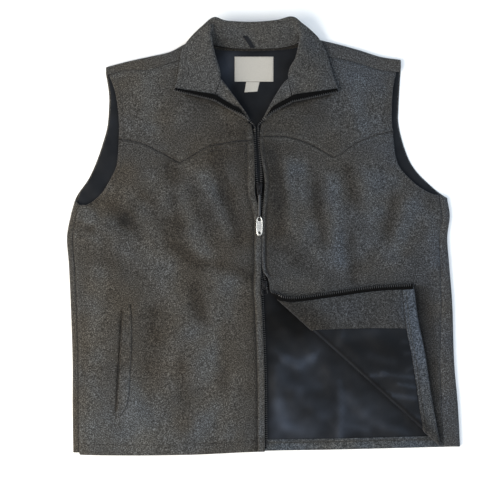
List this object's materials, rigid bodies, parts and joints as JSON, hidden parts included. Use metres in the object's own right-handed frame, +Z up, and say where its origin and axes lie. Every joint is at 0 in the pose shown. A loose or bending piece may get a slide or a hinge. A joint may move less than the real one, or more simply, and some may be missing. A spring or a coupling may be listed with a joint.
{
  "type": "vest",
  "caption": "Western-style zip-front wool vest with pointed yokes, turned-down collar and satin lining, laid flat with the neck zip open and one lower front turned back.",
  "frame": {"origin": "on the surface the vest lies on, under the middle of its bounding box", "axes": "+Y towards the collar, +Z up off the surface, +X to the right as seen from above"},
  "size_m": [0.6285, 0.6992, 0.0394],
  "materials": {
    "wool": "matte flecked wool felt",
    "wool_right": "matte flecked wool felt",
    "collar_wool": "matte flecked wool felt",
    "lining": "smooth satin",
    "zip": "woven tape with moulded teeth",
    "label": "bare woven label",
    "black_metal": "black enamel",
    "silver": "bright plated"
  },
  "bodies": {
    "garment": {"back": "wool", "back_hem": "wool", "back_lining": "lining", "collar": "collar_wool", "flap_facing": "collar_wool", "flap_hem": "collar_wool", "flap_lining": "lining", "front_left": "wool", "front_right": "wool_right", "hanger_loop": "lining", "lapel_left": "collar_wool", "lapel_right": "collar_wool", "neck_label": "label", "pocket_welt": "wool", "size_tab": "label", "slider_bottom": "black_metal", "slider_top": "black_metal", "yoke_left": "wool", "yoke_right": "wool_right", "zip_flap": "zip", "zip_left": "zip", "zip_right": "zip"},
    "pull_top": {"pull_top": "black_metal"},
    "pull_tag": {"pull_tag": "silver"},
    "pull_bottom": {"pull_bottom": "black_metal"}
  },
  "joints": [
    {"name": "top_pull_swing", "type": "hinge", "parent": "garment", "child": "pull_top", "pos_m": [-0.0074, 0.0774, 0.0117], "axis": [-1, 0, 0], "range_deg": [0, 130]},
    {"name": "tag_swing", "type": "hinge", "parent": "pull_top", "child": "pull_tag", "pos_m": [-0.0074, 0.0314, 0.0117], "axis": [-1, 0, 0], "range_deg": [0, 110]},
    {"name": "bottom_pull_swing", "type": "hinge", "parent": "garment", "child": "pull_bottom", "pos_m": [0.0006, -0.0786, 0.0117], "axis": [-1, 0, 0], "range_deg": [0, 130]}
  ]
}
